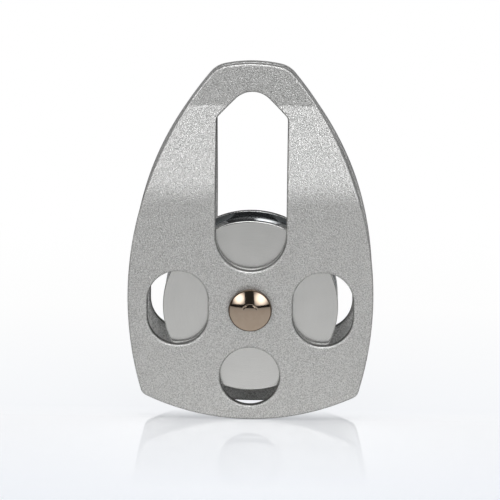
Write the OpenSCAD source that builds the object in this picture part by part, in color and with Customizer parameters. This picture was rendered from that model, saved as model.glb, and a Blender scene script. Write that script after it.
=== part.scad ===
// Swing-cheek rope pulley. Two joggled side plates turn on one riveted axle and meet
// at the top, where a carabiner passes through both eyes. Between them a grooved
// sheave runs on two sealed ball bearings.
// Origin: middle of the sheave on the axle. X across, +Y to the rear plate, +Z to the eye.

/* [Side plates] */
// Width of a side plate across its widest point
plate_w = 77.4; // [74:0.2:84]
// Thickness of the side plate's sheet
plate_t = 3; // [2.5:0.1:4]
// Radius of the two long curves that form the pointed arch
side_r = 110; // [100:0.5:125]
// Height of the plate's widest point above the axle
waist_z = 3; // [0:0.1:6]
// Height of the top edge above the axle
top_z = 77; // [75:0.2:82]
// Radius of the shallow top edge
top_r = 42; // [34:1:60]
// Radius of the two top corners
top_corner_r = 8; // [4:0.5:9]
// Depth of the bottom edge below the axle
foot_z = 36.4; // [34:0.2:40]
// Radius of the curved foot that the pulley stands on
foot_r = 76; // [60:1:90]
// Radius of the two bottom corners
foot_corner_r = 3; // [1:0.5:5]

/* [Joggle] */
// Height above the axle where the plate starts to lean in
bend_z = 33.5; // [31:0.5:36]
// Angle of the leaning stretch
lean = 17; // [15:0.5:22]
// Inside radius of the soft lower bend
lower_bend_r = 24; // [10:1:30]
// Inside radius of the tight upper bend
upper_bend_r = 3; // [1:0.5:6]
// Gap between the two plates where they meet at the eye
eye_gap = 0.6; // [0.2:0.1:2]

/* [Openings] */
// Width of the carabiner eye
eye_w = 22.2; // [20:0.2:24]
// Height of the eye's round tip above the axle
eye_tip_z = 68; // [66.4:0.2:69.6]
// Radius of the eye's tip, which centres the carabiner
eye_tip_r = 7.4; // [6:0.2:8.6]
// Radius of the eye's two shoulders
eye_shoulder_r = 2; // [1:0.5:4]
// Height of the eye's round bottom above the axle
eye_bottom_z = 12.2; // [12:0.1:14]
// Width of an oval side hole
side_hole_w = 19.1; // [16:0.1:20]
// Height of an oval side hole
side_hole_h = 24; // [21:0.2:26]
// Distance of a side hole's middle from the axle
side_hole_x = 22.9; // [22.5:0.1:24]
// Diameter of the round hole at the foot
foot_hole_d = 19; // [16:0.2:20]
// Depth of the foot hole's middle below the axle
foot_hole_z = 22.2; // [22:0.1:24]
// Width of the chamfer round the side holes and the foot hole
hole_break = 0.4; // [0.2:0.1:0.6]

/* [Sheave] */
// Outer diameter of the sheave
sheave_d = 55.4; // [52:0.2:60]
// Width of the sheave across its flanges
sheave_w = 15.6; // [14.6:0.2:20]
// Radius of the rope groove
groove_r = 6; // [4:0.25:6.25]
// Diameter of the sheave at the bottom of the groove
groove_floor_d = 41.5; // [34:0.5:44]
// Angle that each groove wall flares out above the round bottom
flare = 8; // [4:1:14]
// Width of the chamfer on the flange edges
rim_break = 0.4; // [0.2:0.1:0.6]
// Gap between a sheave face and its side plate
side_gap = 0.5; // [0.4:0.1:1.5]

/* [Bearings] */
// Bore of a bearing, which is the axle size
bearing_bore = 8; // [7:0.5:9]
// Outside diameter of a bearing
bearing_od = 19; // [18:0.5:22]
// Width of a bearing
bearing_w = 6; // [5:0.25:6.25]
// How far a bearing sits below the sheave face
bearing_inset = 0.3; // [0.2:0.1:0.6]
// Diameter of a bearing ball
ball_d = 3; // [2.6:0.1:3.2]
// Distance of the races' lands from the circle of ball centres
land_offset = 1.05; // [0.9:0.05:1.2]
// Number of balls in a bearing
ball_count = 7; // [5:1:7]
// Height of the sheave's lip that both bearings seat against
seat_lip = 1.1; // [0.6:0.1:1.4]
// Thickness of a rubber seal
seal_t = 0.4; // [0.3:0.1:0.5]
// How far a seal sits below the bearing's face
seal_inset = 0.2; // [0.1:0.05:0.3]
// Depth of the step that holds a seal in the outer race
seal_seat = 0.5; // [0.3:0.1:0.6]
// Sheet thickness of a ball cage
cage_t = 0.3; // [0.2:0.05:0.4]

/* [Axle] */
// Diameter of the axle's domed heads
head_d = 13.6; // [12:0.2:15]
// Height of a domed head
head_h = 3.4; // [2:0.2:4.5]
// Height of the straight edge below the dome
head_edge = 1.6; // [0.5:0.1:2]
// Diameter of the tool mark in the middle of a head
mark_d = 4.8; // [3:0.2:6]
// Depth of that tool mark
mark_depth = 0.12; // [0.05:0.01:0.3]
// Outside diameter of a thrust washer
washer_d = 11.6; // [11:0.2:12]

/* [Fits] */
// Radial clearance of the axle in the side plates
swing_fit = 0.08; // [0.03:0.01:0.1]
// Radial clearance of the parts that slide onto the axle
slip_fit = 0.02; // [0.01:0.01:0.05]
// Radial clearance of the bearings in the sheave
seat_fit = 0.01; // [0.01:0.01:0.03]
// End clearance on each side of a side plate
end_play = 0.1; // [0.05:0.05:0.3]
// Clearance of the balls in their races and cage
ball_play = 0.08; // [0.05:0.01:0.12]
// Gap between a seal's lip and the inner race
seal_gap = 0.2; // [0.1:0.05:0.4]
// Gap between a cage and the lands of its races
cage_gap = 0.3; // [0.2:0.05:0.4]

/* [Hidden] */
$fn = 96;
eps = 0.01;
reach = 200;
// How far a fillet's circle oversteps the lines it blends, so that they cross cleanly
lap = 0.003;

// Sides of the sheave, as signs along Y
front = -1;
rear = 1;

// Stations along the axle, measured from the middle of the sheave
sheave_face = sheave_w / 2;
plate_in = sheave_face + side_gap;
plate_out = plate_in + plate_t;
head_face = plate_out + end_play;
bearing_out = sheave_face - bearing_inset;
bearing_mid = bearing_out - bearing_w / 2;
spacer_half = bearing_out - bearing_w;

// Side plate outline: two side curves, a top curve and a foot curve
side_cx = side_r - plate_w / 2;
side_c = [-side_cx, waist_z];
top_c = [0, top_z - top_r];
foot_c = [0, foot_r - foot_z];
top_fillet = meet(side_c, side_r - top_corner_r, top_c, top_r - top_corner_r, 1);
foot_fillet = meet(side_c, side_r - foot_corner_r, foot_c, foot_r - foot_corner_r, -1);

// Joggle: centres of the two bends, from how far the plate has to lean in to meet its mate
joggle = plate_in - eye_gap / 2;
lower_outer_r = lower_bend_r + plate_t;
slant = (joggle - (lower_outer_r + upper_bend_r) * (1 - cos(lean))) / sin(lean);
lower_c = [-plate_out + lower_outer_r, bend_z];
slant_start = lower_c + lower_outer_r * [-cos(lean), sin(lean)];
slant_end = slant_start + slant * [sin(lean), cos(lean)];
upper_c = slant_end + upper_bend_r * [-cos(lean), sin(lean)];

// Carabiner eye: straight sides, 45 degree shoulders and a round tip
eye_half = eye_w / 2;
eye_foot_c = eye_bottom_z + eye_half;
eye_tip_c = eye_tip_z - eye_tip_r;
eye_peak = eye_tip_c + eye_tip_r * sqrt(2);
eye_shoulder_z = eye_peak - eye_half;
shoulder_run = eye_shoulder_r * tan(22.5);

// Ball bearing
pitch_r = (bearing_bore + bearing_od) / 4;
ball_r = ball_d / 2;
race_groove_r = ball_r + ball_play;
inner_land_r = pitch_r - land_offset;
outer_land_r = pitch_r + land_offset;
cage_r_in = inner_land_r + cage_gap;
cage_r_out = outer_land_r - cage_gap;
seal_seat_r = outer_land_r + seal_seat;
seal_r_out = seal_seat_r - seat_fit;
seal_r_in = inner_land_r + seal_gap;

// Sheave
sheave_r = sheave_d / 2;
groove_c = groove_floor_d / 2 + groove_r;
seat_r = bearing_od / 2 + seat_fit;
lip_r = seat_r - seat_lip;

// Axle head
head_r = head_d / 2;
dome_rise = head_h - head_edge;
dome_r = (head_r * head_r + dome_rise * dome_rise) / (2 * dome_rise);

// Where two circles cross, on the +X side: the upper crossing for up = 1, the lower for up = -1
function meet(c1, r1, c2, r2, up) =
    let (
        gap = c2 - c1,
        d = norm(gap),
        along = (r1 * r1 - r2 * r2 + d * d) / (2 * d),
        h = sqrt(r1 * r1 - along * along),
        dir = gap / d,
        side = [-dir[1], dir[0]],
        a = c1 + along * dir + h * side,
        b = c1 + along * dir - h * side
    )
    (a[1] - b[1]) * up > 0 ? a : b;

function unit(v) = v / norm(v);

// What a corner loses outside its fillet: c is the fillet's centre, n1 and n2 point from it
// to where the fillet meets the corner's two sides
module corner_waste(c, r, n1, n2) {
    difference() {
        polygon([c, c + 1.3 * r * n1, c + 3 * r * unit(n1 + n2), c + 1.3 * r * n2]);
        translate(c) circle(r + lap, $fn = 180);
    }
}

module plate_outline() {
    difference() {
        intersection() {
            translate(side_c) circle(side_r);
            translate([side_cx, waist_z]) circle(side_r);
            union() {
                translate(top_c) circle(top_r);
                translate([-plate_w / 2, -reach / 2]) square([plate_w, top_c[1] + reach / 2]);
            }
            translate(foot_c) circle(foot_r);
        }
        for (flip = [0, 1]) mirror([flip, 0]) {
            corner_waste(top_fillet, top_corner_r, unit(top_fillet - side_c), unit(top_fillet - top_c));
            corner_waste(foot_fillet, foot_corner_r, unit(foot_fillet - side_c), unit(foot_fillet - foot_c));
        }
    }
}

// The eye is a convex shape: a polygon through the tangent points, and its four round parts
module eye_outline() {
    tip_x = eye_tip_r * sin(45);
    tip_z = eye_tip_c + eye_tip_r * cos(45);
    run_x = shoulder_run * cos(45);
    half = [
        [eye_half, eye_foot_c],
        [eye_half, eye_shoulder_z - shoulder_run],
        [eye_half - run_x, eye_shoulder_z + run_x],
        [tip_x, tip_z]
    ];
    polygon(concat(half, [for (i = [3 : -1 : 0]) [-half[i][0], half[i][1]]]));
    translate([0, eye_tip_c]) circle(eye_tip_r + lap);
    translate([0, eye_foot_c]) circle(eye_half + lap);
    for (s = [-1, 1]) {
        translate([s * (eye_half - eye_shoulder_r), eye_shoulder_z - shoulder_run])
            circle(eye_shoulder_r + lap);
    }
}

module oval_outline(w, h) {
    straight = h - w;
    square([w, straight], center = true);
    for (s = [-1, 1]) translate([0, s * straight / 2]) circle(w / 2 + lap);
}

// All that lies behind one face of the front plate's sheet, seen from the side: first axis
// along Y, second along Z. The face runs up at y, round the lower bend at r_low, along the
// leaning stretch and round the upper bend at r_high
module behind_face(y, r_low, r_high) {
    leaning_n = [-cos(lean), sin(lean)];
    land_y = upper_c[0] + r_high;
    difference() {
        polygon([
            [y, -reach], [y, bend_z + r_low * tan(lean / 2)],
            upper_c - r_high * leaning_n, [land_y, upper_c[1]], [land_y, reach],
            [reach, reach], [reach, -reach]
        ]);
        corner_waste(lower_c, r_low, [-1, 0], leaning_n);
        translate(upper_c) circle(r_high + lap, $fn = 180);
    }
}

module joggled_sheet() {
    difference() {
        behind_face(-plate_out, lower_outer_r, upper_bend_r);
        behind_face(-plate_in, lower_bend_r, upper_bend_r + plate_t);
    }
}

// Turns an outline drawn across X and Z into a cutter or blank that runs along Y
module along_y(y0, y1) {
    translate([0, y1, 0]) rotate([90, 0, 0]) linear_extrude(y1 - y0) children();
}

module through_hole_y(r, y0, y1) {
    translate([0, y0, 0]) rotate([-90, 0, 0]) cylinder(r = r, h = y1 - y0);
}

// A 45 degree chamfer at a face of the sheet, y, that opens towards dir
module hole_chamfer(r, y, dir) {
    translate([0, y - dir * hole_break, 0]) rotate([-90 * dir, 0, 0])
        cylinder(r1 = r, r2 = r + 2 * hole_break, h = 2 * hole_break);
}

module oval_chamfer(w, h, y, dir) {
    r = w / 2;
    straight = h - w;
    for (s = [-1, 1]) translate([0, 0, s * straight / 2]) hole_chamfer(r, y, dir);
    depth = dir * hole_break;
    linear_extrude(straight, center = true)
        polygon([
            [-r, y - depth], [r, y - depth],
            [r + 2 * hole_break, y + depth], [-r - 2 * hole_break, y + depth]
        ]);
}

module side_plate_openings() {
    y0 = -plate_out - plate_t;
    y1 = plate_t;
    through_hole_y(bearing_bore / 2 + swing_fit, y0, y1);
    along_y(y0, y1) eye_outline();
    for (s = [-1, 1]) translate([s * side_hole_x, 0, 0]) {
        along_y(y0, y1) oval_outline(side_hole_w, side_hole_h);
        oval_chamfer(side_hole_w, side_hole_h, -plate_out, front);
        oval_chamfer(side_hole_w, side_hole_h, -plate_in, rear);
    }
    translate([0, 0, -foot_hole_z]) {
        through_hole_y(foot_hole_d / 2, y0, y1);
        hole_chamfer(foot_hole_d / 2, -plate_out, front);
        hole_chamfer(foot_hole_d / 2, -plate_in, rear);
    }
}

module side_plate() {
    difference() {
        intersection() {
            rotate([90, 0, 90]) linear_extrude(2 * plate_w, center = true) joggled_sheet();
            along_y(-plate_out - plate_t, plate_t) plate_outline();
        }
        side_plate_openings();
    }
}

// Revolves a profile drawn with its radius along X and its station along Y, about the axle
module revolved() {
    rotate([-90, 0, 0]) rotate_extrude() children();
}

module ring_profile(r0, r1, y0, y1) {
    translate([r0, y0]) square([r1 - r0, y1 - y0]);
}

module dome_profile(y, dir) {
    crown = y + dir * head_h;
    difference() {
        intersection() {
            translate([0, crown - dir * dome_r]) circle(dome_r, $fn = 180);
            translate([0, min(y, crown)]) square([head_r, head_h]);
        }
        translate([0, crown - mark_depth]) square([mark_d / 2, 2 * mark_depth]);
    }
}

module axle_rivet() {
    color("#a89684") revolved() {
        ring_profile(0, bearing_bore / 2, -head_face - eps, head_face + eps);
        dome_profile(-head_face, -1);
        dome_profile(head_face, 1);
    }
}

module thrust_washer(side) {
    y0 = side > 0 ? bearing_out : -plate_in + end_play;
    y1 = side > 0 ? plate_in - end_play : -bearing_out;
    color("#b9bbbd") revolved()
        ring_profile(bearing_bore / 2 + slip_fit, washer_d / 2, y0, y1);
}

module sheave() {
    mouth_r = sheave_r + rim_break;
    wall = [groove_c + groove_r * sin(flare), groove_r * cos(flare)];
    mouth = wall[1] + (mouth_r - wall[0]) * tan(flare);
    color("#b4b6b8") revolved() difference() {
        ring_profile(lip_r, sheave_r, -sheave_face, sheave_face);
        translate([groove_c, 0]) circle(groove_r, $fn = 180);
        polygon([[wall[0], -wall[1]], [mouth_r, -mouth], [mouth_r, mouth], [wall[0], wall[1]]]);
        for (s = [-1, 1]) {
            ring_profile(lip_r - eps, seat_r, s > 0 ? spacer_half : -reach, s > 0 ? reach : -spacer_half);
            polygon([
                [sheave_r - rim_break, s * (sheave_face + rim_break)],
                [sheave_r + rim_break, s * (sheave_face + rim_break)],
                [sheave_r + rim_break, s * (sheave_face - rim_break)],
                [sheave_r - rim_break, s * sheave_face]
            ]);
        }
    }
}

module bearing_spacer() {
    color("#9fa3a6") revolved()
        ring_profile(bearing_bore / 2 + slip_fit, inner_land_r, -spacer_half, spacer_half);
}

// Everything in a bearing is drawn about its own middle and then moved along the axle
module at_bearing(side) {
    translate([0, side * bearing_mid, 0]) children();
}

module inner_race(side) {
    at_bearing(side) color("#c9ccce") revolved() difference() {
        ring_profile(bearing_bore / 2 + slip_fit, inner_land_r, -bearing_w / 2, bearing_w / 2);
        translate([pitch_r, 0]) circle(race_groove_r);
    }
}

module outer_race(side) {
    at_bearing(side) color("#c9ccce") revolved() difference() {
        ring_profile(outer_land_r, bearing_od / 2, -bearing_w / 2, bearing_w / 2);
        translate([pitch_r, 0]) circle(race_groove_r);
        for (s = [-1, 1]) {
            y = bearing_w / 2 - seal_t - seal_inset;
            ring_profile(
                outer_land_r - eps, seal_seat_r,
                s > 0 ? y : -bearing_w, s > 0 ? bearing_w : -y
            );
        }
    }
}

module each_ball() {
    for (i = [0 : ball_count - 1]) rotate([0, i * 360 / ball_count, 0])
        translate([0, 0, pitch_r]) children();
}

module balls(side) {
    at_bearing(side) color("#d8dadc") each_ball() sphere(ball_r, $fn = 48);
}

// Half of a pressed ribbon cage: flat between the balls, with a cup over each ball
module cage_half(side, dir) {
    cup_r = ball_r + ball_play;
    at_bearing(side) color("#a8a49a") mirror([0, dir > 0 ? 0 : 1, 0]) difference() {
        intersection() {
            union() {
                revolved() ring_profile(cage_r_in, cage_r_out, 0, cage_t);
                each_ball() sphere(cup_r + cage_t, $fn = 48);
            }
            revolved() ring_profile(cage_r_in, cage_r_out, 0, ball_d);
        }
        each_ball() sphere(cup_r, $fn = 48);
    }
}

module seal(side, dir) {
    face = bearing_w / 2 - seal_inset;
    y0 = dir > 0 ? face - seal_t : -face;
    at_bearing(side) color("#2b2c2e") revolved()
        ring_profile(seal_r_in, seal_r_out, y0, y0 + seal_t);
}

module front_side_plate() {
    color("#c3c5c7") side_plate();
}

module rear_side_plate() {
    color("#c3c5c7") mirror([0, 1, 0]) side_plate();
}

front_side_plate();
rear_side_plate();
axle_rivet();
thrust_washer(front);  // front_thrust_washer
thrust_washer(rear);  // rear_thrust_washer
sheave();
bearing_spacer();
inner_race(front);  // front_inner_race
outer_race(front);  // front_outer_race
balls(front);  // front_balls
cage_half(front, front);  // front_cage_outer_half
cage_half(front, rear);  // front_cage_inner_half
seal(front, front);  // front_outer_seal
seal(front, rear);  // front_inner_seal
inner_race(rear);  // rear_inner_race
outer_race(rear);  // rear_outer_race
balls(rear);  // rear_balls
cage_half(rear, rear);  // rear_cage_outer_half
cage_half(rear, front);  // rear_cage_inner_half
seal(rear, rear);  // rear_outer_seal
seal(rear, front);  // rear_inner_seal
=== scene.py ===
"""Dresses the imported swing-cheek rope pulley and lights it as a product on a pale floor.

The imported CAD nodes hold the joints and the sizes. The two side plates, the sheave and the
axle get detailed meshes with rolled edges that stand for their CAD nodes. The bearings,
washers and spacer keep their CAD meshes. Every piece gets a procedural material.
Lengths are metres, written as millimetres times MM. X is across, +Y is to the rear plate
and +Z is to the eye. The origin is the middle of the sheave on the axle.
"""

import logging
import math
from collections.abc import Iterable
from dataclasses import dataclass
from enum import Enum

import bmesh
import bpy
from mathutils import Matrix, Vector

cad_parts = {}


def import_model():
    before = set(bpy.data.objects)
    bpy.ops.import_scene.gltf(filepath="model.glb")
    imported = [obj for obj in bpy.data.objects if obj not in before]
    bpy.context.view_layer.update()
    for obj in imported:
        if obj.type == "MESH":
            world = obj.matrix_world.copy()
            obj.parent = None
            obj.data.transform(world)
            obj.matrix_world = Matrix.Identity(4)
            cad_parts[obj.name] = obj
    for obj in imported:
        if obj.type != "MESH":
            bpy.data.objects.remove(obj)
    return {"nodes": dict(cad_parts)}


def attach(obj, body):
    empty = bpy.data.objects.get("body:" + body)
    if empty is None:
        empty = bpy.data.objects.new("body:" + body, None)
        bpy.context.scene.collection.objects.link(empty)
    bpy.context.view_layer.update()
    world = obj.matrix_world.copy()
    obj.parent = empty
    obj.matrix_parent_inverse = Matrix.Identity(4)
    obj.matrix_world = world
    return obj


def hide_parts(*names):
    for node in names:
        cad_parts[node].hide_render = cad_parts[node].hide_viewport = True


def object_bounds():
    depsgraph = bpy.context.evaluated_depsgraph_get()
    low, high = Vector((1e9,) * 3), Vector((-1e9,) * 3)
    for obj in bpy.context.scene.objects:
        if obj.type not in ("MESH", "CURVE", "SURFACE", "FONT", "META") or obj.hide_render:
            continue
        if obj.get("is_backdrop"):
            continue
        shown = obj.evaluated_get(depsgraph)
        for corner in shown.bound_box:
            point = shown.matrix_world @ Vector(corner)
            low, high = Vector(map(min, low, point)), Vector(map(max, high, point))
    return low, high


LOG = logging.getLogger("pulley")
MM = 0.001
MERGE = 1e-7  # two points closer than this are one
COARSEST_TURN = 0.14  # radians, the longest step along an arc
FACE_SHARE = 0.9  # a face with more of Y than this in its normal is the sheet's face
WALL_SHARE = 0.5  # and one with less of Y than this is a cut wall
NOISE_SPAN = (0.3, 0.7)  # the values that a noise takes, apart from rare ones
# A Mix node's sockets go by number, because their names repeat
NUMBER_A, NUMBER_B, NUMBER_OUT = 2, 3, 0
COLOUR_A, COLOUR_B, COLOUR_OUT = 6, 7, 2

Corners = tuple[tuple[float, float, float], ...]
MeshPart = bmesh.types.BMVert | bmesh.types.BMEdge | bmesh.types.BMFace


class Side(Enum):
    """The two sides of the sheave, as signs along Y."""

    FRONT = -1
    REAR = 1

    @property
    def word(self) -> str:
        """The side's word in node and body names."""
        return self.name.lower()


class Plane(Enum):
    """The plane that an outline is drawn in: X with Z for a sheet, X with Y for a section."""

    SHEET = "z"
    SECTION = "y"

    def place(self, point: Vector) -> Vector:
        """Puts a flat point into space.

        Args:
            point: The point in the drawing.

        Returns:
            The point in X, Y and Z.
        """
        if self is Plane.SHEET:
            return Vector((point.x, 0.0, point.y))
        return Vector((point.x, point.y, 0.0))

    @property
    def turn_axis(self) -> Vector:
        """The axis that turns the first drawing axis towards the second."""
        return Vector((0, -1, 0)) if self is Plane.SHEET else Vector((0, 0, 1))


@dataclass(frozen=True)
class Ramp:
    """How one value follows another: from low to high while that goes from start to end."""

    start: float
    end: float
    low: float = 0.0
    high: float = 1.0

    def feed(self, value: bpy.types.NodeSocket) -> dict[str, object]:
        """Writes the ramp as the inputs of a Map Range node.

        Args:
            value: The socket that the ramp follows.

        Returns:
            The inputs by name.
        """
        return {
            "Value": value,
            "From Min": self.start,
            "From Max": self.end,
            "To Min": self.low,
            "To Max": self.high,
        }


def flat(x: float, y: float) -> Vector:
    """A point of an outline."""
    return Vector((x, y))


def unit(vector: Vector) -> Vector:
    """The vector with a length of 1."""
    return vector.normalized()


def linear(code: str) -> tuple[float, float, float, float]:
    """Turns an sRGB hex colour to the linear colour that a shader takes.

    Args:
        code: Six hex digits after a hash sign.

    Returns:
        Red, green, blue and an alpha of 1.
    """
    parts = [int(code[i : i + 2], 16) / 255 for i in (1, 3, 5)]
    red, green, blue = (
        p / 12.92 if p <= 0.04045 else ((p + 0.055) / 1.055) ** 2.4 for p in parts
    )
    return red, green, blue, 1.0


def noise_scale(size_mm: float) -> float:
    """The Scale of a noise whose features are so many millimetres wide."""
    return 1 / (size_mm * MM)


def add_node(
    tree: bpy.types.NodeTree,
    kind: str,
    inputs: dict[str | int, object] | None = None,
    **settings: object,
) -> bpy.types.Node:
    """Adds a node with its settings, values and links.

    Args:
        tree: The node tree to add to.
        kind: The node's type, without the word ShaderNode.
        inputs: What goes into each socket, by name or number: a value, or a socket to link.
        **settings: The node's own properties.

    Returns:
        The new node.
    """
    node = tree.nodes.new("ShaderNode" + kind)
    for name, value in settings.items():
        setattr(node, name, value)
    for key, value in (inputs or {}).items():
        if isinstance(value, bpy.types.NodeSocket):
            tree.links.new(value, node.inputs[key])
        else:
            node.inputs[key].default_value = value
    return node


def new_material(name: str) -> tuple[bpy.types.Material, bpy.types.NodeTree]:
    """Makes an empty node material.

    Args:
        name: The material's name.

    Returns:
        The material and its node tree.
    """
    material = bpy.data.materials.new(name)
    material.use_nodes = True
    material.node_tree.nodes.clear()
    return material, material.node_tree


def end_material(tree: bpy.types.NodeTree, surface: bpy.types.NodeSocket) -> None:
    """Links a shader to the material's output."""
    add_node(tree, "OutputMaterial", {"Surface": surface})


def end_lamp(tree: bpy.types.NodeTree, level: bpy.types.NodeSocket | float) -> None:
    """Ends a lamp's material: it glows and is clear, so that it hides no other lamp.

    Args:
        tree: The material's node tree.
        level: How strongly it glows.
    """
    glow = add_node(tree, "Emission", {"Strength": level})
    clear = add_node(tree, "BsdfTransparent")
    both = add_node(tree, "AddShader", {0: glow.outputs[0], 1: clear.outputs[0]})
    end_material(tree, both.outputs[0])


@dataclass(frozen=True)
class Finish:
    """What the finish of a piece has: its name, and two tones that a pattern mixes."""

    name: str
    dark: str
    light: str

    def end(
        self,
        tree: bpy.types.NodeTree,
        tone: bpy.types.NodeSocket,
        height: bpy.types.NodeSocket,
        relief: tuple[float, float],
        roughness: bpy.types.NodeSocket | float,
        metallic: float = 1.0,
    ) -> None:
        """Ends the finish's material with its colour, its bumps and its shader.

        Args:
            tree: The material's node tree.
            tone: What mixes the dark tone with the light one.
            height: What the bumps follow.
            relief: The bumps' strength, and their depth in millimetres.
            roughness: The roughness, as a value or a socket.
            metallic: 1 for metal and 0 for anything else.
        """
        colour = add_node(
            tree,
            "Mix",
            {"Factor": tone, COLOUR_A: linear(self.dark), COLOUR_B: linear(self.light)},
            data_type="RGBA",
        ).outputs[COLOUR_OUT]
        strength, depth_mm = relief
        bump = add_node(
            tree, "Bump", {"Strength": strength, "Distance": depth_mm * MM, "Height": height}
        ).outputs["Normal"]
        shader = add_node(
            tree,
            "BsdfPrincipled",
            {"Base Color": colour, "Metallic": metallic, "Roughness": roughness, "Normal": bump},
        )
        end_material(tree, shader.outputs["BSDF"])


@dataclass(frozen=True)
class BlastedAluminium(Finish):
    """Aluminium sheet, bead blasted and then silver anodised.

    The blasting leaves small round dents, which scatter the light to an even satin grey with
    a fine sparkle. The anodising adds no colour and hardly any gloss.
    """

    name: str = "bead_blasted_silver_anodised_aluminium"
    dark: str = "#ACACAB"
    light: str = "#EBEBEA"
    roughness: tuple[float, float] = (0.44, 0.36)  # in the dents and between them
    dent_mm: float = 0.34  # real dents are 0.1 to 0.2 mm, too fine to show at this size
    relief: tuple[float, float] = (0.9, 0.15)
    cloud_mm: float = 22.0  # the slow unevenness of hand blasting
    cloud_share: float = 0.12

    def build(self) -> bpy.types.Material:
        """Makes the material.

        Returns:
            The material, with its pattern on the object's own coordinates.
        """
        material, tree = new_material(self.name)
        place = add_node(tree, "TexCoord").outputs["Object"]
        dents = add_node(
            tree,
            "TexNoise",
            {"Vector": place, "Scale": noise_scale(self.dent_mm), "Detail": 1.0},
        ).outputs["Fac"]
        clouds = add_node(
            tree,
            "TexNoise",
            {"Vector": place, "Scale": noise_scale(self.cloud_mm), "Detail": 2.0},
        ).outputs["Fac"]
        spread = add_node(tree, "MapRange", Ramp(*NOISE_SPAN).feed(dents)).outputs["Result"]
        tone = add_node(
            tree,
            "Math",
            {0: clouds, 1: self.cloud_share, 2: spread},
            operation="MULTIPLY_ADD",
            use_clamp=True,
        ).outputs[0]
        roughness = add_node(tree, "MapRange", Ramp(*NOISE_SPAN, *self.roughness).feed(dents))
        self.end(tree, tone, dents, self.relief, roughness.outputs["Result"])
        return material


@dataclass(frozen=True)
class TurnedMetal(Finish):
    """Bare metal cut on a lathe: fine rings about the axle, from the tool's feed.

    The rings stretch a highlight a little across themselves. A polished face keeps only a
    trace of them.
    """

    roughness: tuple[float, float]
    ring_mm: float  # drawn wider than the real feed of about 0.1 mm, which is too fine to show
    ring_depth_mm: float
    ring_strength: float = 0.5
    smudge_mm: float = 6.0  # the uneven shine of a handled face

    def build(self) -> bpy.types.Material:
        """Makes the material.

        Returns:
            The material, with its pattern on the object's own coordinates.
        """
        material, tree = new_material(self.name)
        place = add_node(tree, "TexCoord").outputs["Object"]
        across = add_node(tree, "VectorMath", {0: place, 1: (1.0, 0.0, 1.0)}, operation="MULTIPLY")
        radius = add_node(
            tree, "VectorMath", {0: across.outputs[0]}, operation="LENGTH"
        ).outputs["Value"]
        rings = add_node(
            tree,
            "TexNoise",
            {"W": radius, "Scale": noise_scale(self.ring_mm), "Detail": 3.0},
            noise_dimensions="1D",
        ).outputs["Fac"]
        smudge = add_node(
            tree,
            "TexNoise",
            {"Vector": place, "Scale": noise_scale(self.smudge_mm), "Detail": 3.0},
        ).outputs["Fac"]
        roughness = add_node(tree, "MapRange", Ramp(*NOISE_SPAN, *self.roughness).feed(smudge))
        relief = (self.ring_strength, self.ring_depth_mm)
        self.end(tree, rings, rings, relief, roughness.outputs["Result"])
        return material


@dataclass(frozen=True)
class NickelPlate(Finish):
    """Steel, cold headed and nickel plated: a warm mirror over slightly uneven steel."""

    name: str = "polished_nickel_plated_steel"
    dark: str = "#B4A291"
    light: str = "#C0AF9F"
    roughness: tuple[float, float] = (0.05, 0.10)
    ripple_mm: float = 1.6  # the forged surface under the plating
    relief: tuple[float, float] = (0.6, 0.004)

    def build(self) -> bpy.types.Material:
        """Makes the material.

        Returns:
            The material, with its pattern on the object's own coordinates.
        """
        material, tree = new_material(self.name)
        place = add_node(tree, "TexCoord").outputs["Object"]
        ripple = add_node(
            tree,
            "TexNoise",
            {"Vector": place, "Scale": noise_scale(self.ripple_mm), "Detail": 1.5},
        ).outputs["Fac"]
        roughness = add_node(tree, "MapRange", Ramp(*NOISE_SPAN, *self.roughness).feed(ripple))
        self.end(tree, ripple, ripple, self.relief, roughness.outputs["Result"])
        return material


@dataclass(frozen=True)
class MouldedRubber(Finish):
    """Nitrile rubber pressed on the bearing seal: black, dull, with the mould's fine texture."""

    name: str = "moulded_nitrile_rubber"
    dark: str = "#161617"
    light: str = "#242526"
    roughness: float = 0.62
    texture_mm: float = 0.4
    relief: tuple[float, float] = (0.4, 0.02)

    def build(self) -> bpy.types.Material:
        """Makes the material.

        Returns:
            The material, with its pattern on the object's own coordinates.
        """
        material, tree = new_material(self.name)
        place = add_node(tree, "TexCoord").outputs["Object"]
        texture = add_node(
            tree,
            "TexNoise",
            {"Vector": place, "Scale": noise_scale(self.texture_mm), "Detail": 3.0},
        ).outputs["Fac"]
        self.end(tree, texture, texture, self.relief, self.roughness, metallic=0.0)
        return material


# The punch smears the walls of the holes and the blast hardly reaches them, which leaves them
# dull; their dark tone is painted shade, standing for the shade inside the holes
PUNCHED_AND_SHADED_WALL = BlastedAluminium(
    "punched_aluminium_edge_with_painted_shade", "#666664", "#7C7C7A", roughness=(0.70, 0.60), relief=(0.9, 0.05)
)
# Turned side faces of the sheave: satin, with rings that hardly show
SHEAVE_FACE = TurnedMetal(
    "turned_aluminium", "#DEDEDD", "#E8E8E7",
    roughness=(0.20, 0.26), ring_mm=0.5, ring_depth_mm=0.0015,
)
# The rope groove is polished after turning, so that it doesn't wear the rope: a soft mirror
SHEAVE_GROOVE = TurnedMetal(
    "polished_turned_aluminium", "#C6C9CB", "#D2D5D7",
    roughness=(0.07, 0.12), ring_mm=0.6, ring_depth_mm=0.001,
)
# The head's outer edge is painted darker all round: painted shade standing for the thin dark
# outline where the head meets the plate
HEAD_EDGE_PAINTED_SHADE = NickelPlate(
    "nickel_plated_edge_with_painted_shade", "#574A3E", "#6B5D50", roughness=(0.26, 0.36)
)
# Tumbled after turning, which leaves the washers and the spacer a soft, warm grey
WASHER_STEEL = TurnedMetal(
    "tumbled_stainless_steel", "#B3B1AC", "#C2C0BC",
    roughness=(0.24, 0.34), ring_mm=0.4, ring_depth_mm=0.003,
)
# Ground races and balls: a cool, close shine
BEARING_STEEL = TurnedMetal(
    "ground_bearing_steel", "#BDBDBE", "#CBCBCC",
    roughness=(0.10, 0.18), ring_mm=0.3, ring_depth_mm=0.001,
)
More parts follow.
